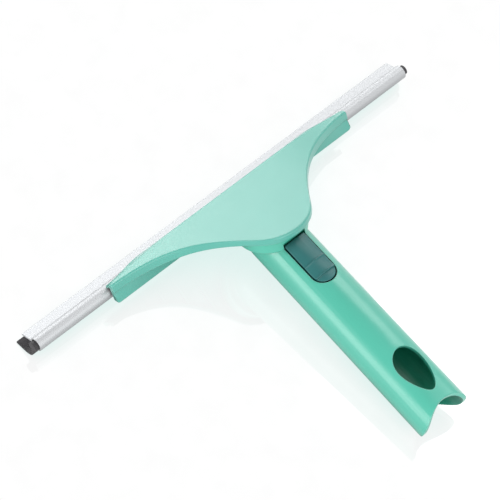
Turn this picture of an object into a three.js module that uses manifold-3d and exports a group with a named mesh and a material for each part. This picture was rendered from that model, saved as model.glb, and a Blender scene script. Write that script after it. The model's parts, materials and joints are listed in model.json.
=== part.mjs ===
// A window cleaning squeegee, lying on a table as it does between two windows: it rests on its
// wiping edge in front and on the tail of its handle behind.
// A moulded wing-shaped head grips an aluminium rail with a rubber blade, and swivels on the collar
// of a hollow handle. A push button in the handle's neck locks the head in steps.
//
// Lengths are in millimetres. x runs along the rail, y forward to the wiping edge, z up.
// The head and the handle each have a frame of their own, described where it is used.

import * as THREE from 'three'
import { mergeVertices } from 'three/addons/utils/BufferGeometryUtils.js'
import Module from 'manifold-3d'

const wasm = await Module()
wasm.setup()

const degrees = THREE.MathUtils.degToRad

// Fits
const clearance = 0.3
const overrun = 2
const meshTolerance = 0.01

// Rail and blade
const railLength = 280
const bladeOverhang = 2.5
const tubeOuterRadius = 4.2
const tubeWall = 0.9
const lipReach = 12.2
const lipThickness = 1.2
const lipTopHeight = 1.5
const lipFilletShare = 0.3
const slotAngle = degrees(-68)
const slotWidth = 2.4
const beadRadius = 2.9
const webNeckThickness = 1.6
const webTipThickness = 1.2
const webReach = 16.3
const webDrop = 5.35
const webSweep = 7.6

// Head plate
const headTilt = degrees(27)
const headHalfSpan = 89.5
const noseRadius = 24
const noseHalfAngle = degrees(55)
const wingTipRear = 31.4
const plateFront = 34
const skinThickness = 2.2
const noseRimHeight = 3.7
const wingRimHeight = 5.5
const rimGrowthStart = 24
const rimGrowthEnd = 62
const rimWall = 2
const rimEdgeRadius = 0.8
const wingDroop = 4.4
const wingTipRound = 2
const droopStart = 30
const droopPower = 2.4

// Hood over the rail, part of the head's moulding
const hoodRear = 29.5
const hoodLean = 0.9
const hoodWall = 1.9
const hoodBottom = -17.2
const hoodFrontWall = 1.5
const tubeForward = 39.1
const tubeBelow = 12.9
const jawWidth = 3
const jawSpacing = 25
const jawsEachSide = 3
const jawReach = 37
const jawBottom = -16.6
const underRibThickness = 1.4
const underRibSpacing = 12
const underRibsEachSide = 3
const underRibInset = 0.3

// Swivel
const bossRadius = 6
const bossFlat = 4.8
const boreRadius = 2.1
const ringOuterRadius = 15.4
const ringHubRadius = 9.5
const ringFlangeTop = -9.4
const ringBottom = -11.8
const notchCount = 12
const notchWidth = 4.6
const notchBottomRadius = 12.2
const collarRadius = 20.3
const collarTop = -noseRimHeight - clearance
const collarBottom = -13.6
const collarEdgeRadius = 1.5
const collarNeckRadius = 18
const turretFloor = 4
const washerRadius = 6.5
const washerThickness = 1.5
const screwHeadRadius = 4.2
const screwHeadHeight = 3
const screwLength = 9
const driveRadius = 1.9
const driveDepth = 1.6
const screwPocketRadius = 7.3

// Handle, a hollow tube
const handleAxisBelow = 16.9
const handleLength = 137.8
const neckHalfWidth = 15.7
const tailHalfWidth = 16.4
const handleWall = 2.4
const socketEnd = 52
const topDip = 1.9
const topDipStart = 88
const topDipHalfWidth = 10.5
const clickHoleCentre = 109.4
const clickHoleHalfLength = 14.6
const clickHoleHalfWidth = 8.5
const clickHoleEgg = 2.2
const mouthTopDepth = 6.5
const mouthBottomDepth = 14
const mouthPower = 2.3

// Push button and its spring
const buttonFront = 12.3
const buttonFrontSag = 0.5
const buttonRear = 42.7
const buttonHalfWidth = 7.2
const buttonHeight = 7
const buttonProud = 0.5
const buttonTravel = 3
const buttonGap = 0.8
const dishStart = 29.2
const dishEnd = 37.2
const dishDepth = 0.35
const gripRidge = 0.25
const ridgeWidth = 0.6
const ridgeSlope = 0.3
const stepDepth = 0.75
const tongueHalfWidth = 1.9
const tongueTipRadius = ringOuterRadius + clearance
const tongueTop = -10.2
const tongueBottom = -11.8
const springRadius = 2.7
const springWireRadius = 0.35
const springTurns = 6
const springPlace = 31
const springSeatDepth = 3

// Fineness of the curved faces
const roundSteps = 40
const arcSteps = 8
const handleSteps = 18

// Colours of the materials
const mintPlastic = new THREE.MeshStandardMaterial({ color: 0x6cc9b4, roughness: 0.38, metalness: 0 })
const tealPlastic = new THREE.MeshStandardMaterial({ color: 0x2f7775, roughness: 0.45, metalness: 0 })
const aluminium = new THREE.MeshStandardMaterial({ color: 0xdfe1e1, roughness: 0.4, metalness: 0.9 })
const rubber = new THREE.MeshStandardMaterial({ color: 0x2a2a2b, roughness: 0.7, metalness: 0 })
const steel = new THREE.MeshStandardMaterial({ color: 0xb8bcc0, roughness: 0.3, metalness: 1 })
const whiteNylon = new THREE.MeshStandardMaterial({ color: 0xe6e6e0, roughness: 0.55, metalness: 0 })

// Joining and cutting

function signedVolume(geometry) {
  const point = geometry.attributes.position
  const corner = [new THREE.Vector3(), new THREE.Vector3(), new THREE.Vector3()]
  let sum = 0
  for (let i = 0; i < geometry.index.count; i += 3) {
    corner.forEach((v, k) => v.fromBufferAttribute(point, geometry.index.getX(i + k)))
    sum += corner[0].dot(corner[1].cross(corner[2]))
  }
  return sum
}

function toSolid(geometry) {
  const bare = geometry.clone()
  bare.deleteAttribute('normal')
  bare.deleteAttribute('uv')
  const merged = mergeVertices(bare)
  const triangles = Array.from(merged.index.array)
  if (signedVolume(merged) < 0) triangles.reverse()
  return new wasm.Manifold(new wasm.Mesh({
    numProp: 3,
    vertProperties: new Float32Array(merged.attributes.position.array),
    triVerts: new Uint32Array(triangles),
  }))
}

function toGeometry(solid) {
  const mesh = solid.simplify(meshTolerance).getMesh()
  const geometry = new THREE.BufferGeometry()
  geometry.setAttribute('position', new THREE.BufferAttribute(mesh.vertProperties, mesh.numProp))
  geometry.setIndex(new THREE.BufferAttribute(mesh.triVerts, 1))
  geometry.computeVertexNormals()
  return geometry
}

function joinAll(solids) {
  return solids.reduce((sum, solid) => sum.add(solid))
}

function cutAll(solid, cutters) {
  return cutters.reduce((rest, cutter) => rest.subtract(cutter), solid)
}

// Shapes

// A closed body through sections that all have the same number of points. The ends are closed with
// the help of flat, which lays a section down in a plane. Without it the last joins the first.
function loft(sections, flat) {
  const count = sections[0].length
  const positions = sections.flat().flatMap((p) => [p.x, p.y, p.z])
  const index = []
  const spans = flat ? sections.length - 1 : sections.length
  for (let s = 0; s < spans; s += 1) {
    for (let i = 0; i < count; i += 1) {
      const j = (i + 1) % count
      const a = s * count
      const b = (s + 1) % sections.length * count
      index.push(a + i, a + j, b + j, a + i, b + j, b + i)
    }
  }
  if (flat) {
    index.push(...endCap(sections[0].map(flat), 0).reverse())
    index.push(...endCap(sections.at(-1).map(flat), (sections.length - 1) * count))
  }
  const geometry = new THREE.BufferGeometry()
  geometry.setAttribute('position', new THREE.Float32BufferAttribute(positions, 3))
  geometry.setIndex(index)
  return geometry
}

// Triangles over an outline, all turned the way the outline runs
function endCap(outline, base) {
  const forward = THREE.ShapeUtils.isClockWise(outline)
  return THREE.ShapeUtils.triangulateShape(outline, []).flatMap(([i, j, k]) => {
    const same = THREE.ShapeUtils.isClockWise([outline[i], outline[j], outline[k]]) === forward
    return same ? [base + i, base + j, base + k] : [base + i, base + k, base + j]
  })
}

// A shape in the y-z plane, drawn out along x from one end to the other
function alongX(shape, from, to) {
  const settings = { depth: to - from, bevelEnabled: false, curveSegments: arcSteps }
  const geometry = new THREE.ExtrudeGeometry(shape, settings)
  const turn = new THREE.Matrix4().makeBasis(
    new THREE.Vector3(0, 1, 0), new THREE.Vector3(0, 0, 1), new THREE.Vector3(1, 0, 0))
  return geometry.applyMatrix4(turn).translate(from, 0, 0)
}

// A shape in the x-y plane, drawn up along z from one height to the other
function alongZ(shape, from, to) {
  const settings = { depth: to - from, bevelEnabled: false, curveSegments: arcSteps }
  return new THREE.ExtrudeGeometry(shape, settings).translate(0, 0, from)
}

// A turned body about the z axis, from points of radius and height
function turned(profile) {
  const points = profile.map(([radius, height]) => new THREE.Vector2(radius, height))
  return new THREE.LatheGeometry(points, roundSteps).rotateX(Math.PI / 2)
}

function cylinder(radius, from, to) {
  return turned([[0, from], [radius, from], [radius, to], [0, to]])
}

function ring(inner, outer, from, to) {
  return turned([[inner, from], [outer, from], [outer, to], [inner, to], [inner, from]])
}

function rectangle(left, right, low, high) {
  const shape = new THREE.Shape()
  shape.moveTo(left, low)
  shape.lineTo(right, low)
  shape.lineTo(right, high)
  shape.lineTo(left, high)
  return shape
}

function polygon(points) {
  return new THREE.Shape(points.map(([x, y]) => new THREE.Vector2(x, y)))
}

// The outline of the head, seen square to its plate: x across, y forward, origin on the swivel axis

// From the nose's arc a curve swings out to the wing tip. It is a cubic whose pull at each end is a
// share of the way between the ends.
const noseEnd = new THREE.Vector2(noseRadius * Math.sin(noseHalfAngle), -noseRadius * Math.cos(noseHalfAngle))
const wingEnd = new THREE.Vector2(headHalfSpan, wingTipRear)
const wingReach = noseEnd.distanceTo(wingEnd)
const wingPullShare = 0.43
const wingTipSlope = degrees(11)
const wingCurve = new THREE.CubicBezierCurve(
  noseEnd,
  new THREE.Vector2(Math.cos(noseHalfAngle), Math.sin(noseHalfAngle))
    .multiplyScalar(wingReach * wingPullShare).add(noseEnd),
  new THREE.Vector2(-Math.cos(wingTipSlope), -Math.sin(wingTipSlope))
    .multiplyScalar(wingReach * wingPullShare).add(wingEnd),
  wingEnd,
)
const wingSamples = wingCurve.getPoints(roundSteps)

function rearEdge(x) {
  const side = Math.abs(x)
  if (side <= noseEnd.x) return -Math.sqrt(noseRadius ** 2 - side ** 2)
  const next = wingSamples.findIndex((p) => p.x >= side)
  if (next < 1) return wingTipRear
  const [a, b] = [wingSamples[next - 1], wingSamples[next]]
  return THREE.MathUtils.mapLinear(side, a.x, b.x, a.y, b.y)
}

function rearSlope(x) {
  const step = clearance
  return (rearEdge(x + step) - rearEdge(x - step)) / (step + step)
}

// How far a round wing tip has drawn in
function tipRound(x) {
  const into = Math.max(0, Math.abs(x) - headHalfSpan + wingTipRound)
  return wingTipRound - Math.sqrt(wingTipRound ** 2 - into ** 2)
}

// How far the top face has dropped below its middle, towards the wing tips
function droop(x) {
  const share = Math.max(0, Math.abs(x) - droopStart) / (headHalfSpan - droopStart)
  return wingDroop * share ** droopPower + tipRound(x) / 2
}

function rimHeight(x) {
  return THREE.MathUtils.lerp(noseRimHeight, wingRimHeight,
    THREE.MathUtils.smoothstep(Math.abs(x), rimGrowthStart, rimGrowthEnd))
}

// Places along the head where its sections are taken: closest round the nose, and close again on the
// round of the tips
const stationCount = 28
const stationPower = 1.15
const tipSteps = 4
const outward = [0]
for (let i = 1; i <= stationCount; i += 1) {
  outward.push((headHalfSpan - wingTipRound) * (i / stationCount) ** stationPower)
}
for (let i = 1; i <= tipSteps; i += 1) {
  outward.push(headHalfSpan - wingTipRound * (1 - Math.sin(Math.PI / 2 * i / tipSteps)))
}
const stations = [...outward.slice(1).map((x) => -x).reverse(), ...outward]

const headSectionFlat = (p) => new THREE.Vector2(p.y, p.z)

function tubePoint(radius, angle) {
  return [tubeForward + radius * Math.cos(angle), -tubeBelow + radius * Math.sin(angle)]
}

const hoodRadius = tubeOuterRadius + hoodFrontWall

// The hood's front lies square to this angle about the tube, and ends at the front angle: low in
// the middle, and drawn back over the tube at the wing tips
const hoodFaceAngle = degrees(45)
const hoodEndAngle = degrees(19)
const hoodTipAngle = degrees(106)
const hoodTipFace = degrees(14)
const drawBackStart = 42

function frontAngle(x) {
  const share = THREE.MathUtils.smoothstep(Math.abs(x), drawBackStart, headHalfSpan)
  return THREE.MathUtils.lerp(hoodEndAngle, hoodTipAngle, share)
}

function faceAngle(x) {
  return Math.max(hoodFaceAngle, frontAngle(x) + hoodTipFace)
}

function hoodRearAt(x) {
  return Math.max(hoodRear, rearEdge(x) + rimEdgeRadius)
}

// The outside of the head's moulding at one place along it
function headSection(x) {
  const drop = droop(x)
  const rear = rearEdge(x)
  const wall = hoodRearAt(x)
  const face = faceAngle(x)
  const end = frontAngle(x)
  const outline = [
    [rear + rimEdgeRadius, -drop],
    [rear, -drop - rimEdgeRadius],
    [rear, -drop - rimHeight(x)],
    [wall, -drop - rimHeight(x)],
    [hoodRear + hoodLean, hoodBottom + tipRound(x)],
    [tubeForward - tubeOuterRadius / 2, hoodBottom + tipRound(x)],
    [tubeForward, -tubeBelow],
    tubePoint(hoodRadius, end),
    tubePoint(hoodRadius, (end + face) / 2),
    tubePoint(hoodRadius, face),
    [plateFront, -drop - rimEdgeRadius / 2],
    [plateFront - rimEdgeRadius, -drop],
  ]
  return outline.map(([y, z]) => new THREE.Vector3(x, y, z))
}

// The hollow under the plate, between its rim and the hood
function hollowRear(x) {
  return rearEdge(x) + rimWall * Math.hypot(1, rearSlope(x))
}

function hollowSection(x) {
  const drop = droop(x)
  const rear = hollowRear(x)
  const outline = [
    [rear, -drop - skinThickness],
    [rear, -drop - rimHeight(x) - overrun],
    [hoodRear, -drop - rimHeight(x) - overrun],
    [hoodRear, -drop - skinThickness],
  ]
  return outline.map(([y, z]) => new THREE.Vector3(x, y, z))
}

// The channel in which the rail lies, open below
function channelSection(x) {
  const within = Math.min(Math.abs(x), headHalfSpan)
  const top = -droop(within) - skinThickness
  const inner = tubeOuterRadius
  const wall = hoodRearAt(within) + hoodWall
  const outline = [
    [hoodRear + hoodLean + hoodWall, hoodBottom - overrun],
    [wall, top],
    [Math.max(plateFront, wall + rimEdgeRadius), top],
    tubePoint(inner, faceAngle(within)),
    tubePoint(inner, frontAngle(within)),
    [tubeForward + inner, hoodBottom - overrun],
  ]
  return outline.map(([y, z]) => new THREE.Vector3(x, y, z))
}

// Room for the rail's lip below the hood's front edge
function lipRoom(from, to) {
  return toSolid(alongX(rectangle(tubeForward, tubeForward + lipReach,
    hoodBottom - overrun, -tubeBelow + lipTopHeight + clearance), from, to))
}

function headShell() {
  const outside = toSolid(loft(stations.map(headSection), headSectionFlat))
  const hollowStations = stations.filter((x) => hollowRear(x) < hoodRear - rimWall)
  const hollow = toSolid(loft(hollowStations.map(hollowSection), headSectionFlat))
  const channelStations = [-headHalfSpan - overrun, ...stations, headHalfSpan + overrun]
  const channel = toSolid(loft(channelStations.map(channelSection), headSectionFlat))

  // Jaws across the channel that snap round the rail's tube
  const jaws = []
  for (let i = -jawsEachSide; i <= jawsEachSide; i += 1) {
    const place = i * jawSpacing
    const shape = polygon([
      [hoodRear + hoodWall, jawBottom],
      [jawReach, jawBottom],
      [tubeForward, -tubeBelow],
      [tubeForward + hoodRadius, -tubeBelow],
      [tubeForward + hoodRadius, -rimEdgeRadius],
      [hoodRear + hoodWall / 2, -rimEdgeRadius],
    ])
    jaws.push(toSolid(alongX(shape, place - jawWidth / 2, place + jawWidth / 2)))
  }
  const ends = [-headHalfSpan - overrun, headHalfSpan + overrun]
  const railRoom = toSolid(alongX(tubeOutline(tubeOuterRadius + clearance), ...ends)).add(lipRoom(...ends))
  const fittedJaws = joinAll(jaws).intersect(outside)

  // Ribs that stiffen the wings from below, and the wall round the lock ring
  const ribs = [toSolid(ring(ringOuterRadius + overrun, ringOuterRadius + overrun + underRibThickness,
    -noseRimHeight + underRibInset, -skinThickness / 2))]
  for (let i = 1; i <= underRibsEachSide; i += 1) {
    const place = ringOuterRadius + i * underRibSpacing
    for (const side of [-place, place]) {
      const shape = rectangle(-noseRadius, hoodRear + hoodWall / 2,
        -rimHeight(side) + underRibInset - droop(side), -skinThickness / 2 - droop(side))
      ribs.push(toSolid(alongX(shape, side - underRibThickness / 2, side + underRibThickness / 2)))
    }
  }
  const fittedRibs = joinAll(ribs).intersect(outside)

  const bossBottom = collarFloor
  const boss = toSolid(cylinder(bossRadius, bossBottom, -skinThickness / 2))
  const flats = [-1, 1].map((side) => {
    const near = side * bossFlat
    const far = side * (bossRadius + overrun)
    const shape = rectangle(Math.min(near, far), Math.max(near, far), -bossRadius, bossRadius)
    return toSolid(alongZ(shape, ringBottom - clearance, -skinThickness))
  })
  const flattened = cutAll(boss, flats)
  const bore = toSolid(cylinder(boreRadius, bossBottom - overrun, bossBottom + screwLength))

  const moulding = joinAll([cutAll(outside, [hollow, channel]), fittedJaws, fittedRibs, flattened])
  return cutAll(moulding, [railRoom, bore])
}

// A full circle of the rail's tube in the y-z plane of the head
function tubeOutline(radius) {
  const shape = new THREE.Shape()
  shape.absarc(tubeForward, -tubeBelow, radius, 0, 2 * Math.PI)
  return shape
}

// Rail: a slotted tube with a flat lip in front, one profile drawn through the whole length
function railShell() {
  const tube = toSolid(alongX(tubeOutline(tubeOuterRadius), -railLength / 2, railLength / 2))
  const lipTop = -tubeBelow + lipTopHeight
  const lipFront = tubeForward + lipReach
  const lip = new THREE.Shape()
  lip.moveTo(tubeForward, lipTop - lipThickness)
  lip.lineTo(lipFront - lipThickness / 2, lipTop - lipThickness)
  lip.absarc(lipFront - lipThickness / 2, lipTop - lipThickness / 2, lipThickness / 2, -Math.PI / 2, Math.PI / 2)
  lip.lineTo(tubeForward + tubeOuterRadius + lipTopHeight * lipFilletShare, lipTop)
  lip.lineTo(tubeForward + tubeOuterRadius * Math.cos(hoodFaceAngle), lipTop + lipTopHeight * lipFilletShare)
  lip.lineTo(tubeForward, lipTop + lipTopHeight * lipFilletShare)
  const body = tube.add(toSolid(alongX(lip, -railLength / 2, railLength / 2)))
  const ends = [-railLength / 2 - overrun, railLength / 2 + overrun]
  const hollow = toSolid(alongX(tubeOutline(tubeOuterRadius - tubeWall), ...ends))
  const slot = rectangle(0, tubeOuterRadius + overrun, -slotWidth / 2, slotWidth / 2)
  const slotCut = toSolid(alongX(slot, ...ends)
    .applyMatrix4(new THREE.Matrix4().makeRotationX(slotAngle))
    .translate(0, tubeForward, -tubeBelow))
  return cutAll(body, [hollow, slotCut])
}

// Blade: a round bead in the tube, a neck through the slot, and a web that sweeps forward under the
// lip to the wiping edge
const slotDirection = [Math.cos(slotAngle), Math.sin(slotAngle)]
const nearPullShare = [0.18, 0.75]
const farPullShare = [0.54, 0.36]
const webCurve = new THREE.CubicBezierCurve(
  new THREE.Vector2(slotDirection[0] * beadRadius / 2, slotDirection[1] * beadRadius / 2),
  new THREE.Vector2(webReach * nearPullShare[0], -webDrop - webSweep * nearPullShare[1]),
  new THREE.Vector2(webReach * farPullShare[0], -webDrop - webSweep * farPullShare[1]),
  new THREE.Vector2(webReach, -webDrop),
)

function bladeWeb() {
  const steps = roundSteps / 2
  const left = []
  const right = []
  for (let i = 0; i <= steps; i += 1) {
    const share = i / steps
    const p = webCurve.getPoint(share)
    const t = webCurve.getTangent(share)
    const half = THREE.MathUtils.lerp(webNeckThickness, webTipThickness, share) / 2
    left.push([tubeForward + p.x - t.y * half, -tubeBelow + p.y + t.x * half])
    right.push([tubeForward + p.x + t.y * half, -tubeBelow + p.y - t.x * half])
  }
  return [...left, ...right.reverse()]
}

function blade() {
  const half = railLength / 2 + bladeOverhang
  const bead = toSolid(alongX(tubeOutline(beadRadius), -half, half))
  return bead.add(toSolid(alongX(polygon(bladeWeb()), -half, half)))
}

// Swivel parts, all about the head's z axis

const collarFloor = ringBottom - clearance * 3 - turretFloor

function lockRing() {
  const flange = toSolid(cylinder(ringOuterRadius, ringBottom, ringFlangeTop))
  const hub = toSolid(cylinder(ringHubRadius, ringBottom, -skinThickness - clearance))
  const bore = toSolid(cylinder(bossRadius + clearance, ringBottom - overrun, overrun))
  const keys = [-1, 1].map((side) => {
    const near = side * (bossFlat + clearance)
    const far = side * (bossRadius + overrun)
    const shape = rectangle(Math.min(near, far), Math.max(near, far), -bossRadius, bossRadius)
    return toSolid(alongZ(shape, ringBottom, -skinThickness - clearance))
  })
  const notches = []
  for (let i = 0; i < notchCount; i += 1) {
    const shape = rectangle(-notchWidth / 2, notchWidth / 2, -ringOuterRadius - overrun, -notchBottomRadius)
    const notch = alongZ(shape, ringBottom - overrun, ringFlangeTop + overrun)
    notches.push(toSolid(notch.rotateZ(i * 2 * Math.PI / notchCount)))
  }
  return joinAll([cutAll(flange.add(hub), [bore, ...notches]), ...keys.map((key) => key.intersect(hub))])
}

function pivotWasher() {
  const top = collarFloor - clearance
  return toSolid(ring(boreRadius + clearance, washerRadius, top - washerThickness, top))
}

function pivotScrew() {
  const seat = collarFloor - clearance * 2 - washerThickness
  const headBottom = seat - screwHeadHeight
  const shankRadius = boreRadius - clearance
  const tip = collarFloor + screwLength - clearance
  const edge = screwHeadHeight / 4
  const body = turned([
    [0, headBottom], [screwHeadRadius - edge, headBottom], [screwHeadRadius, headBottom + edge],
    [screwHeadRadius, seat], [shankRadius, seat], [shankRadius, tip], [0, tip],
  ])
  const drive = toSolid(cylinder(driveRadius, headBottom - overrun, headBottom + driveDepth))
  return toSolid(body).subtract(drive)
}

// Handle frame: y backwards along the handle's axis is negative, z up square to it, with the origin
// where that axis meets the swivel axis

function halfWidth(s) {
  return THREE.MathUtils.lerp(neckHalfWidth, tailHalfWidth, s / handleLength)
}

// Height of the tube's upper side at one place along it and one angle round it. Towards the tail it
// is dished.
function upperSide(s, angle) {
  const dishShare = Math.max(0, 1 - (halfWidth(s) * Math.cos(angle) / topDipHalfWidth) ** 2)
  const dip = topDip * THREE.MathUtils.smoothstep(s, topDipStart, handleLength)
  return halfWidth(s) * Math.sin(angle) - dip * dishShare ** 2
}

function handleSection(s, wall) {
  const points = []
  for (let i = 0; i < roundSteps; i += 1) {
    const angle = 2 * Math.PI * i / roundSteps
    const rise = Math.sin(angle)
    const height = rise > 0 ? upperSide(s, angle) : halfWidth(s) * rise
    points.push(new THREE.Vector3((halfWidth(s) - wall) * Math.cos(angle), -s, height - wall * rise))
  }
  return points
}

const handleFlat = (p) => new THREE.Vector2(p.x, p.z)

function spread(from, to, steps) {
  const places = []
  for (let i = 0; i <= steps; i += 1) places.push(THREE.MathUtils.lerp(from, to, i / steps))
  return places
}

function handleTube(wall, from, to) {
  return toSolid(loft(spread(from, to, handleSteps).map((s) => handleSection(s, wall)), handleFlat))
}

// The tail is scooped out above and below, which leaves a rounded lobe at each side. The scoop is a
// ring whose near face follows the tail's edge round the tube.
const mouthCore = tailHalfWidth / 2
function mouthEdge(angle) {
  const height = Math.sin(angle)
  const depth = height > 0 ? mouthTopDepth : mouthBottomDepth
  return handleLength - depth * Math.abs(height) ** mouthPower
}

function mouthRing() {
  const sections = []
  const steps = roundSteps * 2
  for (let i = 0; i < steps; i += 1) {
    const angle = 2 * Math.PI * i / steps
    const corners = [
      [mouthCore, mouthEdge(angle)],
      [tailHalfWidth + overrun, mouthEdge(angle)],
      [tailHalfWidth + overrun, handleLength + overrun],
      [mouthCore, handleLength + overrun],
    ]
    sections.push(corners.map(([radius, s]) =>
      new THREE.Vector3(radius * Math.cos(angle), -s, radius * Math.sin(angle))))
  }
  return toSolid(loft(sections))
}

// The tilt of the handle puts its tail on the table: its axis starts at the swivel axis, and the
// lowest line of the tube ends where the mouth is cut
const bladePoints = bladeWeb()
const pivotHeight = Math.max(...bladePoints.map(([y, z]) => y * Math.sin(headTilt) - z * Math.cos(headTilt)))
const axisHeight = pivotHeight - handleAxisBelow * Math.cos(headTilt)
const tailReach = handleLength - mouthBottomDepth
const tailHalf = halfWidth(tailReach)
const handleTilt = Math.asin(axisHeight / Math.hypot(tailReach, tailHalf)) - Math.atan2(tailHalf, tailReach)

// Turns a piece made in the head's frame into the handle's frame
const headToHandle = new THREE.Matrix4()
  .makeRotationX(-headTilt - handleTilt)
  .multiply(new THREE.Matrix4().makeTranslation(0, 0, handleAxisBelow))

function inHandle(geometry) {
  return toSolid(geometry.applyMatrix4(headToHandle))
}

// The button's outline over the neck: a round end behind, and hollowed round the collar in front
function neckOutline(gap) {
  const half = buttonHalfWidth + gap
  const rear = buttonRear + gap
  const front = buttonFront - gap
  const shape = new THREE.Shape()
  shape.moveTo(-half, -front)
  shape.lineTo(-half, -rear + half)
  shape.absarc(0, -rear + half, half, Math.PI, 2 * Math.PI)
  shape.lineTo(half, -front)
  shape.quadraticCurveTo(0, -front - buttonFrontSag * 2, -half, -front)
  return shape
}

// The spring stands on the pocket's floor and reaches up into a seat in the button
const buttonFloor = halfWidth(buttonRear) - buttonHeight - buttonTravel - springSeatDepth
const springHeight = buttonTravel + springSeatDepth * 2

// The click hole is an egg, widest towards the neck
function clickOutline() {
  const points = []
  for (let i = 0; i < roundSteps; i += 1) {
    const angle = 2 * Math.PI * i / roundSteps
    const width = clickHoleHalfWidth - clickHoleEgg * Math.cos(angle)
    points.push([width * Math.sin(angle), -clickHoleCentre - clickHoleHalfLength * Math.cos(angle)])
  }
  return polygon(points)
}

function handle() {
  const profile = []
  for (let i = 0; i <= arcSteps; i += 1) {
    const angle = Math.PI / 2 * i / arcSteps
    profile.push([neckHalfWidth * Math.sin(angle), -handleAxisBelow - neckHalfWidth * Math.cos(angle)])
  }
  const underCollar = new THREE.QuadraticBezierCurve(
    new THREE.Vector2(neckHalfWidth, -handleAxisBelow + rimEdgeRadius),
    new THREE.Vector2(neckHalfWidth, collarBottom),
    new THREE.Vector2(collarNeckRadius, collarBottom),
  )
  const collarEdge = new THREE.EllipseCurve(collarRadius - collarEdgeRadius, collarBottom + collarEdgeRadius,
    collarEdgeRadius, collarEdgeRadius, -Math.PI / 2, 0)
  profile.push(...[underCollar, collarEdge].flatMap((curve) => curve.getPoints(arcSteps)).map((p) => [p.x, p.y]))
  profile.push([collarRadius, collarTop], [0, collarTop])
  const turret = inHandle(turned(profile))
  const aboveCollar = inHandle(cylinder(noseRadius * 2, collarTop, noseRadius * 2))
  const tube = handleTube(0, 0, handleLength).subtract(aboveCollar)

  const recess = inHandle(cylinder(ringOuterRadius + clearance * 2, ringBottom - clearance * 3, overrun))
  const bore = inHandle(cylinder(bossRadius + clearance, collarFloor - overrun, overrun))
  const screwPocket = inHandle(cylinder(screwPocketRadius, -handleAxisBelow * 2 - overrun, collarFloor))
  const tongueRoom = inHandle(alongZ(
    rectangle(-tongueHalfWidth - clearance, tongueHalfWidth + clearance, -collarRadius, -notchBottomRadius),
    tongueBottom - buttonTravel - clearance, tongueTop + clearance))
  const pocket = toSolid(alongZ(neckOutline(buttonGap), buttonFloor, noseRadius * 2))
  const socket = handleTube(handleWall, socketEnd, handleLength + overrun)
  const clickHole = toSolid(alongZ(clickOutline(), 0, tailHalfWidth * 2))

  return cutAll(tube.add(turret),
    [recess, bore, screwPocket, tongueRoom, pocket, socket, clickHole, mouthRing()])
}

// The button's top follows the handle's: at each place along it, how far it stands above. A ridge
// leads into a shallow dish for the thumb, and behind a second ridge it steps down.
const dishMiddle = (dishStart + dishEnd) / 2
const buttonProfile = [
  [buttonFront - overrun, buttonProud],
  [dishStart - ridgeWidth - ridgeSlope, buttonProud],
  [dishStart - ridgeWidth, buttonProud + gripRidge],
  [dishStart, buttonProud + gripRidge],
  [dishStart + ridgeSlope, buttonProud],
  [dishMiddle, buttonProud - dishDepth],
  [dishEnd - ridgeSlope, buttonProud],
  [dishEnd, buttonProud + gripRidge],
  [dishEnd + ridgeWidth, buttonProud + gripRidge],
  [dishEnd + ridgeWidth + ridgeSlope, buttonProud - stepDepth],
  [buttonRear + overrun, buttonProud - stepDepth],
]

function pushButton() {
  const bottom = buttonFloor + buttonTravel + springSeatDepth
  const side = buttonHalfWidth + overrun
  const sections = buttonProfile.map(([s, lift]) => {
    const top = spread(-side, side, arcSteps).map((x) =>
      new THREE.Vector3(x, -s, upperSide(s, Math.acos(x / halfWidth(s))) + lift))
    return [...top, new THREE.Vector3(side, -s, bottom), new THREE.Vector3(-side, -s, bottom)]
  })
  const outline = toSolid(alongZ(neckOutline(0), bottom, noseRadius * 2))
  const body = toSolid(loft(sections, handleFlat)).intersect(outline)
  const tongue = inHandle(alongZ(
    rectangle(-tongueHalfWidth, tongueHalfWidth, -collarRadius - overrun, -tongueTipRadius),
    tongueBottom, tongueTop))
  const seat = toSolid(cylinder(springRadius + springWireRadius + clearance, bottom - overrun, bottom + springSeatDepth)
    .translate(0, -springPlace, 0))
  return body.add(tongue).subtract(seat)
}

class CoilCurve extends THREE.Curve {
  getPoint(share, target = new THREE.Vector3()) {
    const angle = share * springTurns * 2 * Math.PI
    const low = buttonFloor + springWireRadius + clearance
    const rise = springHeight - springWireRadius * 2 - clearance * 2
    return target.set(springRadius * Math.cos(angle), -springPlace + springRadius * Math.sin(angle), low + rise * share)
  }
}

function buttonSpring() {
  const wire = new THREE.Shape()
  wire.absarc(0, 0, springWireRadius, 0, 2 * Math.PI)
  return new THREE.ExtrudeGeometry(wire, {
    extrudePath: new CoilCurve(), steps: springTurns * arcSteps, bevelEnabled: false, curveSegments: arcSteps - 2,
  })
}

// Assembly

function piece(name, shape, material) {
  const geometry = shape instanceof THREE.BufferGeometry ? shape : toGeometry(shape)
  const mesh = new THREE.Mesh(geometry, material)
  mesh.name = name
  return mesh
}

const head = new THREE.Group()
head.add(
  piece('head_shell', headShell(), mintPlastic),
  piece('rail', railShell(), aluminium),
  piece('rubber_blade', blade(), rubber),
  piece('lock_ring', lockRing(), whiteNylon),
  piece('pivot_washer', pivotWasher(), steel),
  piece('pivot_screw', pivotScrew(), steel),
)

const grip = new THREE.Group()
grip.add(
  piece('handle', handle(), mintPlastic),
  piece('push_button', pushButton(), tealPlastic),
  piece('button_spring', buttonSpring(), steel),
)

head.rotation.x = -headTilt
head.position.z = pivotHeight
grip.rotation.x = handleTilt
grip.position.set(0, -handleAxisBelow * Math.sin(headTilt), axisHeight)

// The whole stands on the ground plane, centred over the origin
const squeegee = new THREE.Group()
squeegee.add(head, grip)
const extent = new THREE.Box3().setFromObject(squeegee, true)
squeegee.position.y = -extent.getCenter(new THREE.Vector3()).y
squeegee.position.z = -extent.min.z
squeegee.updateMatrixWorld(true)

export default squeegee
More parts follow.
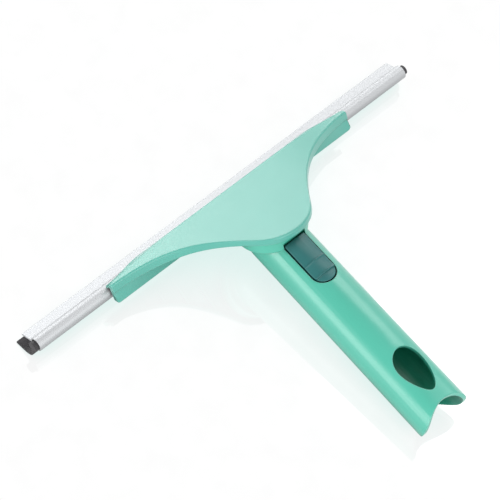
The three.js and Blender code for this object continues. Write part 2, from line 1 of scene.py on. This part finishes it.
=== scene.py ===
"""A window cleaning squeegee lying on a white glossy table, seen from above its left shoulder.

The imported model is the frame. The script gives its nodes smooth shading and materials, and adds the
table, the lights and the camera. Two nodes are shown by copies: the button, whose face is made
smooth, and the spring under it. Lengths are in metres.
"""

import json
import math

import bpy
from mathutils import Color, Matrix, Vector

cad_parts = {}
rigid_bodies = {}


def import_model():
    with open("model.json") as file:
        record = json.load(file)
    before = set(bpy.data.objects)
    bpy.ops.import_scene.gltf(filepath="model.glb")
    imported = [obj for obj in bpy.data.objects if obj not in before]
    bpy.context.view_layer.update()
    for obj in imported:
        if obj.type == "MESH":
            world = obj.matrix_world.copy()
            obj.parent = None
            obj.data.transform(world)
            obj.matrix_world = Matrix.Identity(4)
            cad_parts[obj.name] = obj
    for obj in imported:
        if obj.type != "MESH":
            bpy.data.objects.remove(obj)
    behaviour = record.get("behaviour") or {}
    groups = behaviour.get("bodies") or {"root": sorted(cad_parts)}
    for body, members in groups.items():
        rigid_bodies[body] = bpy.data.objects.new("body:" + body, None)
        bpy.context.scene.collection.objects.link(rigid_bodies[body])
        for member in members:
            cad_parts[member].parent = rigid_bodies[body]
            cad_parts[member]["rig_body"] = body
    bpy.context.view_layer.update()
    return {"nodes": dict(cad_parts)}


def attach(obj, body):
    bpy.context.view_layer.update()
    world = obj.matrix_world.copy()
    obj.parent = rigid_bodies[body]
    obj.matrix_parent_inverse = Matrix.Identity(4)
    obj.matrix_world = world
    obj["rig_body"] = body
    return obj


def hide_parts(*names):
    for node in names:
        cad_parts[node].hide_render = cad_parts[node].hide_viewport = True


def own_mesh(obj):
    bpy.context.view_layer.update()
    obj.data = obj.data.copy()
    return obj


def srgb(red, green, blue):
    """A linear colour from the usual 0 to 255 numbers."""
    colour = Color((red, green, blue)) / 255
    return (*colour.from_srgb_to_scene_linear(), 1.0)


WHITE = srgb(255, 255, 255)

# Camera, fitted to the photograph: its right and backward directions, and the place it aims at
CAMERA_RIGHT = Vector((0.7239, -0.6786, 0.1240))
CAMERA_BACK = Vector((-0.4130, -0.2822, 0.8660))
CAMERA_TARGET = Vector((-0.00416, 0.05426, 0.0))
CAMERA_DISTANCE = 1.386
CAMERA_LENS = 178.05
SENSOR_WIDTH = 36.0

# Smoothing of the faceted solids
WELD_DISTANCE = 0.00002
SHARP_ANGLE = math.radians(32)
FACE_WEIGHT = 60

# Edges: their rounding, and the painted highlight: how far they go over to the lighter edge colour
# as the rounded normal leaves the true one
EDGE_RADIUS = 0.0009
EDGE_SAMPLES = 8
EDGE_HIGHLIGHT_SHARE = 0.35
EDGE_MATCH_SHARES = (0.8, 0.985)

# Painted shade in recesses and creases: how far a wall shades its neighbour, and the open shares
# that give full shade and none
RECESS_SAMPLES = 10
RECESS_REACH = 0.03
RECESS_SHARES = (0.35, 0.84)
CREASE_REACH = 0.004
CREASE_SHARES = (0.25, 0.85)

# Button: the strip of its face where the tongue's post comes up, and where rays start above it
POST_HALF_WIDTH = 0.0021
POST_REAR = 0.022
RAY_START = 0.1

# Moulded plastics, by the names of their materials
# A lighter mint painted along the edges as a highlight
MINT_EDGE_HIGHLIGHT = srgb(150, 222, 204)
# In each plastic, the edge colour is a highlight painted along the edges, and the recess colour is
# shade painted into recesses and creases
PLASTICS = {
    "grip_mint": {
        "deep": srgb(66, 188, 163),
        "light": srgb(73, 192, 168),
        "edge_highlight": MINT_EDGE_HIGHLIGHT,
        "recess_shade": srgb(0, 112, 84),
        "roughness": 0.36,
        "grain": 0.1,
        "specular": 0.6,
        "coat_share": 0.8,
    },
    "head_mint": {
        "deep": srgb(64, 175, 158),
        "light": srgb(71, 180, 163),
        "edge_highlight": MINT_EDGE_HIGHLIGHT,
        "recess_shade": srgb(0, 62, 48),
        "roughness": 0.36,
        "grain": 0.1,
        "specular": 0.8,
        "coat_share": 1.0,
    },
    "teal_plastic": {
        "deep": srgb(30, 108, 108),
        "light": srgb(46, 122, 120),
        "edge_highlight": srgb(70, 140, 136),
        "recess_shade": srgb(4, 66, 60),
        "roughness": 0.4,
        "grain": 0.25,
    },
    "white_nylon": {
        "deep": srgb(224, 224, 218),
        "light": srgb(236, 236, 232),
        "edge_highlight": srgb(240, 240, 238),
        "recess_shade": srgb(120, 120, 116),
        "roughness": 0.5,
        "grain": 0.1,
    },
}

# What all plastics share: cloudy colour, patchy roughness, a fine grain and the gloss over it.
# Scales of noise are per metre
CLOUD_SCALE = 34.0
CLOUD_DETAIL = 3.0
CLOUD_SHARES = (0.3, 0.7)
PATCH_SCALE = 90.0
PATCH_DETAIL = 4.0
PATCH_ROUGHNESS = 0.05
GRAIN_SCALE = 2600.0
GRAIN_DETAIL = 2.0
GRAIN_DEPTH = 0.00003
COAT_ROUGHNESS = 0.3

# Aluminium, with lines along the extrusion, which runs along x
METAL_DARK = srgb(179, 181, 183)
METAL_LIGHT = srgb(186, 188, 190)
METAL_ROUGHNESS = (0.48, 0.58)
METALLIC_SHARE = 0.9
METAL_EDGE_SHARE = 0.25
LINE_SCALE = 420.0
LINE_DETAIL = 3.0
LINE_STRETCH_SHARES = (0.02, 1.0, 1.0)
LINE_SHARES = (0.35, 0.65)
LINE_STRENGTH = 0.04
LINE_DEPTH = 0.00004

# Rubber
RUBBER_DARK = srgb(38, 37, 39)
RUBBER_LIGHT = srgb(66, 64, 67)
RUBBER_ROUGHNESS = (0.5, 0.68)
BLOOM_SCALE = 120.0
BLOOM_DETAIL = 5.0
BLOOM_SHARES = (0.3, 0.75)
PORE_SCALE = 1800.0
PORE_DETAIL = 2.0
PORE_STRENGTH = 0.15
PORE_DEPTH = 0.00004

# Plated steel
STEEL_DARK = srgb(150, 152, 156)
STEEL_LIGHT = srgb(196, 198, 200)
STEEL_ROUGHNESS = (0.25, 0.42)
MOTTLE_SCALE = 260.0
MOTTLE_DETAIL = 4.0
MOTTLE_SHARES = (0.3, 0.7)

# Table: its glow stands for an evenly lit white top, and is weaker for rays that light the object
TABLE_SIZE = 8.0
TABLE_DROP = 0.0001
TABLE_DUSTY = srgb(252, 252, 252)
TABLE_ROUGHNESS = 0.06
TABLE_GLOSS_SHARE = 0.085
TABLE_MATT_SHARE = 0.03
TABLE_GLOW = 1.02
TABLE_BOUNCE = 0.85
# Painted shade and painted bounce light on the table near the object: how far the object closes it in,
# and the open shares for full and none
TABLE_SHADE_REACH = 0.07
TABLE_SHADE_SHARES = (0.2, 1.0)
# A pale mint painted on the table as bounce light from the plastic close above, and how fast it fades
# away from it
TABLE_PAINTED_BOUNCE = srgb(226, 250, 246)
TABLE_PAINTED_BOUNCE_POWER = 2.5
DUST_SCALE = 60.0
DUST_DETAIL = 3.0
DUST_SHARES = (0.3, 0.7)

# Lights: name, direction from the object, distance, width, height, power
LIGHTS = (
    ("key_behind", (-0.2, -0.75, 0.63), 1.6, 1.4, 1.4, 16.0),
    ("left_strip", (-0.98, 0.2, 0.16), 1.5, 1.4, 0.6, 10.6),
    ("right_high", (0.66, 0.14, 0.74), 1.5, 0.4, 0.9, 4.4),
    ("right_low", (0.82, 0.55, 0.15), 1.5, 0.9, 0.5, 5.0),
    ("front_low", (0.03, 0.95, 0.3), 1.6, 1.5, 0.65, 9.8),
)
LIGHT_AIM = Vector((0.0, 0.0, 0.02))
WORLD_STRENGTH = 0.27

# The material of each node that is shown as it is
WORN = {
    "head_shell": "head_mint",
    "handle": "grip_mint",
    "lock_ring": "white_nylon",
    "rail": "rail_aluminium",
    "rubber_blade": "blade_rubber",
    "pivot_screw": "steel",
    "pivot_washer": "steel",
}

# A Mix node's sockets for each kind of value: the first, the second and the result
MIX_SOCKETS = {"FLOAT": (2, 3, 0), "RGBA": (6, 7, 2)}


class Nodes:
    """Builds the node tree of a material or of the world."""

    def __init__(self, owner):
        owner.use_nodes = True
        self.owner = owner
        self.tree = owner.node_tree
        self.tree.nodes.clear()

    def add(self, kind, settings=None, **inputs):
        """A new node. An input's name has underscores for its spaces."""
        node = self.tree.nodes.new(kind)
        for key, value in (settings or {}).items():
            setattr(node, key, value)
        for key, value in inputs.items():
            self.put(node, key.replace("_", " "), value)
        return node

    def put(self, node, key, value):
        """Links a socket to the node's input, or sets the input to a plain value."""
        if isinstance(value, bpy.types.NodeSocket):
            self.tree.links.new(value, node.inputs[key])
        else:
            node.inputs[key].default_value = value

    def ramp(self, factor, low, high, shares):
        """A colour that goes from low to high as the factor goes through the two shares."""
        node = self.add("ShaderNodeValToRGB", Fac=factor)
        for element, colour, place in zip(node.color_ramp.elements, (low, high), shares):
            element.color = colour
            element.position = place
        return node.outputs["Color"]

    def spread(self, factor, low, high, low_at=0.0, high_at=1.0):
        """A number that goes from low to high as the factor goes from low_at to high_at."""
        node = self.add("ShaderNodeMapRange", Value=factor, From_Min=low_at, From_Max=high_at,
                        To_Min=low, To_Max=high)
        return node.outputs["Result"]

    def noise(self, scale, detail, stretch=(1, 1, 1)):
        place = self.add("ShaderNodeTexCoord").outputs["Object"]
        mapping = self.add("ShaderNodeMapping", Vector=place, Scale=stretch)
        node = self.add("ShaderNodeTexNoise", Vector=mapping.outputs["Vector"], Scale=scale,
                        Detail=detail)
        return node.outputs["Fac"]

    def combine(self, kind, operation, first, second):
        """The result of a Math or Vector Math node with two inputs."""
        node = self.add(kind, {"operation": operation})
        self.put(node, 0, first)
        self.put(node, 1, second)
        return node.outputs["Value"]

    def blend(self, kind, share, first, second):
        """Goes from the first number or colour to the second as the share goes from 0 to 1."""
        first_at, second_at, result_at = MIX_SOCKETS[kind]
        node = self.add("ShaderNodeMix", {"data_type": kind}, Factor=share)
        self.put(node, first_at, first)
        self.put(node, second_at, second)
        return node.outputs[result_at]

    def mix(self, first, second, share):
        """Goes from the first shader to the second as the share goes from 0 to 1."""
        node = self.add("ShaderNodeMixShader", Fac=share)
        self.put(node, 1, first)
        self.put(node, 2, second)
        return node.outputs["Shader"]

    def soft_edge(self, radius):
        """A normal that rounds the edges."""
        return self.add("ShaderNodeBevel", {"samples": EDGE_SAMPLES}, Radius=radius).outputs["Normal"]

    def paint_edge_highlight(self, colour, light, soft_edge):
        """Paints a highlight: lightens the colour along the edges, where the rounded normal leaves the
        true one.
        """
        plain = self.add("ShaderNodeNewGeometry").outputs["Normal"]
        match = self.combine("ShaderNodeVectorMath", "DOT_PRODUCT", plain, soft_edge)
        share = self.spread(match, EDGE_HIGHLIGHT_SHARE, 0.0, *EDGE_MATCH_SHARES)
        return self.blend("RGBA", share, colour, light)

    def closed_in(self, reach, shares):
        """How far a place is closed in by walls within the reach: 1 in a deep recess, 0 in the open."""
        node = self.add("ShaderNodeAmbientOcclusion", {"samples": RECESS_SAMPLES}, Distance=reach)
        return self.spread(node.outputs["AO"], 1.0, 0.0, *shares)

    def shade_recess(self, colour, recess_shade):
        """Paints shade: goes over to the recess shade colour where little light can reach."""
        wide = self.closed_in(RECESS_REACH, RECESS_SHARES)
        narrow = self.closed_in(CREASE_REACH, CREASE_SHARES)
        darkest = self.combine("ShaderNodeMath", "MAXIMUM", wide, narrow)
        return self.blend("RGBA", darkest, colour, recess_shade)

    def bump(self, height, strength, depth, **inputs):
        node = self.add("ShaderNodeBump", Strength=strength, Distance=depth, Height=height, **inputs)
        return node.outputs["Normal"]

    def finish(self, shader, output="ShaderNodeOutputMaterial"):
        self.add(output, Surface=shader)
        return self.owner


def moulded_plastic(name, deep, light, edge_highlight, recess_shade, roughness, grain, specular=0.5, coat_share=0.0):
    """Injection moulded plastic: slight cloudiness, fine grain, painted shade in recesses, painted edge
    highlights.
    """
    nodes = Nodes(bpy.data.materials.new(name))
    cloudy = nodes.ramp(nodes.noise(CLOUD_SCALE, CLOUD_DETAIL), deep, light, CLOUD_SHARES)
    soft_edge = nodes.soft_edge(EDGE_RADIUS)
    # Painted highlight along the edges, then painted shade in recesses and creases
    edge_highlighted = nodes.paint_edge_highlight(cloudy, edge_highlight, soft_edge)
    colour = nodes.shade_recess(edge_highlighted, recess_shade)
    patches = nodes.noise(PATCH_SCALE, PATCH_DETAIL)
    rough = nodes.spread(patches, roughness - PATCH_ROUGHNESS, roughness + PATCH_ROUGHNESS)
    normal = nodes.bump(nodes.noise(GRAIN_SCALE, GRAIN_DETAIL), grain, GRAIN_DEPTH, Normal=soft_edge)
    shader = nodes.add(
        "ShaderNodeBsdfPrincipled", Base_Color=colour, Roughness=rough, Normal=normal,
        Specular_IOR_Level=specular, Coat_Weight=coat_share, Coat_Roughness=COAT_ROUGHNESS)
    return nodes.finish(shader.outputs["BSDF"])


def extruded_aluminium(name):
    """Satin anodised aluminium with faint lines along the extrusion."""
    nodes = Nodes(bpy.data.materials.new(name))
    lines = nodes.noise(LINE_SCALE, LINE_DETAIL, LINE_STRETCH_SHARES)
    colour = nodes.ramp(lines, METAL_DARK, METAL_LIGHT, LINE_SHARES)
    rough = nodes.spread(lines, *METAL_ROUGHNESS)
    soft_edge = nodes.soft_edge(EDGE_RADIUS * METAL_EDGE_SHARE)
    normal = nodes.bump(lines, LINE_STRENGTH, LINE_DEPTH, Normal=soft_edge)
    shader = nodes.add(
        "ShaderNodeBsdfPrincipled", Base_Color=colour, Roughness=rough, Normal=normal,
        Metallic=METALLIC_SHARE)
    return nodes.finish(shader.outputs["BSDF"])


def soft_rubber(name):
    """Matt rubber with a dusty bloom."""
    nodes = Nodes(bpy.data.materials.new(name))
    bloom = nodes.noise(BLOOM_SCALE, BLOOM_DETAIL)
    colour = nodes.ramp(bloom, RUBBER_DARK, RUBBER_LIGHT, BLOOM_SHARES)
    rough = nodes.spread(bloom, *RUBBER_ROUGHNESS)
    normal = nodes.bump(nodes.noise(PORE_SCALE, PORE_DETAIL), PORE_STRENGTH, PORE_DEPTH)
    shader = nodes.add("ShaderNodeBsdfPrincipled", Base_Color=colour, Roughness=rough, Normal=normal)
    return nodes.finish(shader.outputs["BSDF"])


def plated_steel(name):
    """Zinc plated steel with a little mottling."""
    nodes = Nodes(bpy.data.materials.new(name))
    mottle = nodes.noise(MOTTLE_SCALE, MOTTLE_DETAIL)
    colour = nodes.ramp(mottle, STEEL_DARK, STEEL_LIGHT, MOTTLE_SHARES)
    rough = nodes.spread(mottle, *STEEL_ROUGHNESS)
    shader = nodes.add("ShaderNodeBsdfPrincipled", Base_Color=colour, Roughness=rough, Metallic=1.0)
    return nodes.finish(shader.outputs["BSDF"])


def table_surface(name):
    """White glossy table: mostly plain white, with a share that mirrors what lies on it.

    The plain white is a glow, with painted mint bounce light where mint plastic lies close above it.
    The camera sees it in full, mirrored rays see it darker under the object as painted shade, and
    all other rays see the weaker bounce.
    """
    nodes = Nodes(bpy.data.materials.new(name))
    colour = nodes.ramp(nodes.noise(DUST_SCALE, DUST_DETAIL), TABLE_DUSTY, WHITE, DUST_SHARES)
    rays = nodes.add("ShaderNodeLightPath").outputs
    shaded = nodes.closed_in(TABLE_SHADE_REACH, TABLE_SHADE_SHARES)
    # Painted shade: mirrored rays see the glow fade out under the object
    mirrored_shaded = nodes.spread(shaded, TABLE_GLOW, 0.0)
    unseen = nodes.blend("FLOAT", rays["Is Glossy Ray"], TABLE_BOUNCE, mirrored_shaded)
    strength = nodes.blend("FLOAT", rays["Is Camera Ray"], unseen, TABLE_GLOW)
    # Painted mint bounce light where the plastic lies close above
    close = nodes.combine("ShaderNodeMath", "POWER", shaded, TABLE_PAINTED_BOUNCE_POWER)
    bounce_tinted = nodes.blend("RGBA", close, colour, TABLE_PAINTED_BOUNCE)
    glow = nodes.add("ShaderNodeEmission", Color=bounce_tinted, Strength=strength)
    matt = nodes.add("ShaderNodeBsdfDiffuse", Color=colour)
    gloss = nodes.add("ShaderNodeBsdfGlossy", Color=colour, Roughness=TABLE_ROUGHNESS)
    even = nodes.mix(glow.outputs["Emission"], matt.outputs["BSDF"], TABLE_MATT_SHARE)
    return nodes.finish(nodes.mix(even, gloss.outputs["BSDF"], TABLE_GLOSS_SHARE))


def make_materials():
    """The object's materials by the names that WORN gives them."""
    made = {name: moulded_plastic(name, **values) for name, values in PLASTICS.items()}
    made["steel"] = plated_steel("steel")
    made["rail_aluminium"] = extruded_aluminium("rail_aluminium")
    made["blade_rubber"] = soft_rubber("blade_rubber")
    return made


def add_object(name, data):
    """A new object of the scene, at the origin."""
    made = bpy.data.objects.new(name, data)
    bpy.context.scene.collection.objects.link(made)
    return made


def smooth(node):
    """Welds the facets of a CAD node and shades it smooth up to its sharp edges."""
    for polygon in node.data.polygons:
        polygon.use_smooth = True
    weld = node.modifiers.new("weld", "WELD")
    weld.merge_threshold = WELD_DISTANCE
    split = node.modifiers.new("sharp_edges", "EDGE_SPLIT")
    split.split_angle = SHARP_ANGLE
    split.use_edge_sharp = False
    weighted = node.modifiers.new("face_weights", "WEIGHTED_NORMAL")
    weighted.weight = FACE_WEIGHT


def dress(node, material):
    """Gives a node its material and its smooth shading."""
    node.data.materials.clear()
    node.data.materials.append(material)
    smooth(node)


def top_height(node, x, y):
    """Height of a node's top above one place on the table, or None where it has none."""
    found, place, _, _ = node.ray_cast(Vector((x, y, RAY_START)), Vector((0, 0, -1)))
    return place.z if found else None


def add_button_cap(node, material):
    """The button with a smooth face: the post of its tongue ends level with it, not above it."""
    cap = add_object("button_cap", node.data.copy())
    for vertex in cap.data.vertices:
        place = vertex.co
        if abs(place.x) > POST_HALF_WIDTH or place.y < POST_REAR:
            continue
        beside = top_height(node, POST_HALF_WIDTH, place.y)
        if beside is not None and place.z > beside:
            place.z = beside
    dress(cap, material)
    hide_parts("push_button")
    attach(cap, "button")


def add_spring_coil(node, material):
    """The spring as a copy with its own mesh, on the body of the spring's node."""
    coil = add_object("spring_coil", node.data.copy())
    dress(coil, material)
    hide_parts("button_spring")
    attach(coil, node["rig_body"])
    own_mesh(coil)


def add_table():
    half = TABLE_SIZE / 2
    mesh = bpy.data.meshes.new("table")
    corners = [(-half, -half, 0), (half, -half, 0), (half, half, 0), (-half, half, 0)]
    mesh.from_pydata(corners, [], [(0, 1, 2, 3)])
    mesh.materials.append(table_surface("table_white"))
    table = add_object("table", mesh)
    table.location.z = -TABLE_DROP


def add_lights():
    """Area lights around the object, each facing it."""
    for name, direction, distance, width, height, power in LIGHTS:
        data = bpy.data.lights.new(name, "AREA")
        data.shape = "RECTANGLE"
        data.size = width
        data.size_y = height
        data.energy = power
        towards = Vector(direction).normalized()
        light = add_object(name, data)
        light.location = LIGHT_AIM + towards * distance
        light.rotation_euler = towards.to_track_quat("Z", "Y").to_euler()


def add_world():
    """White where the camera or a mirrored ray sees it, and a soft fill for everything else."""
    world = bpy.data.worlds.new("studio")
    bpy.context.scene.world = world
    nodes = Nodes(world)
    rays = nodes.add("ShaderNodeLightPath").outputs
    visible = nodes.combine("ShaderNodeMath", "MAXIMUM", rays["Is Camera Ray"], rays["Is Glossy Ray"])
    fill = nodes.add("ShaderNodeBackground", Color=WHITE, Strength=WORLD_STRENGTH)
    seen = nodes.add("ShaderNodeBackground", Color=WHITE, Strength=1.0)
    shader = nodes.mix(fill.outputs["Background"], seen.outputs["Background"], visible)
    nodes.finish(shader, "ShaderNodeOutputWorld")


def add_camera():
    back = CAMERA_BACK.normalized()
    right = (CAMERA_RIGHT - back * CAMERA_RIGHT.dot(back)).normalized()
    up = back.cross(right)
    data = bpy.data.cameras.new("camera")
    data.sensor_width = SENSOR_WIDTH
    data.lens = CAMERA_LENS
    data.clip_end = TABLE_SIZE * 2
    camera = add_object("camera", data)
    turn = Matrix((right, up, back)).transposed().to_4x4()
    camera.matrix_world = Matrix.Translation(CAMERA_TARGET + back * CAMERA_DISTANCE) @ turn
    bpy.context.scene.camera = camera


def main():
    bpy.ops.wm.read_factory_settings(use_empty=True)
    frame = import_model()
    nodes = frame["nodes"]
    bpy.context.scene.view_settings.view_transform = "Standard"

    materials = make_materials()
    for name, material in WORN.items():
        dress(nodes[name], materials[material])
    add_button_cap(nodes["push_button"], materials["teal_plastic"])
    add_spring_coil(nodes["button_spring"], materials["steel"])

    add_table()
    add_lights()
    add_world()
    add_camera()


main()
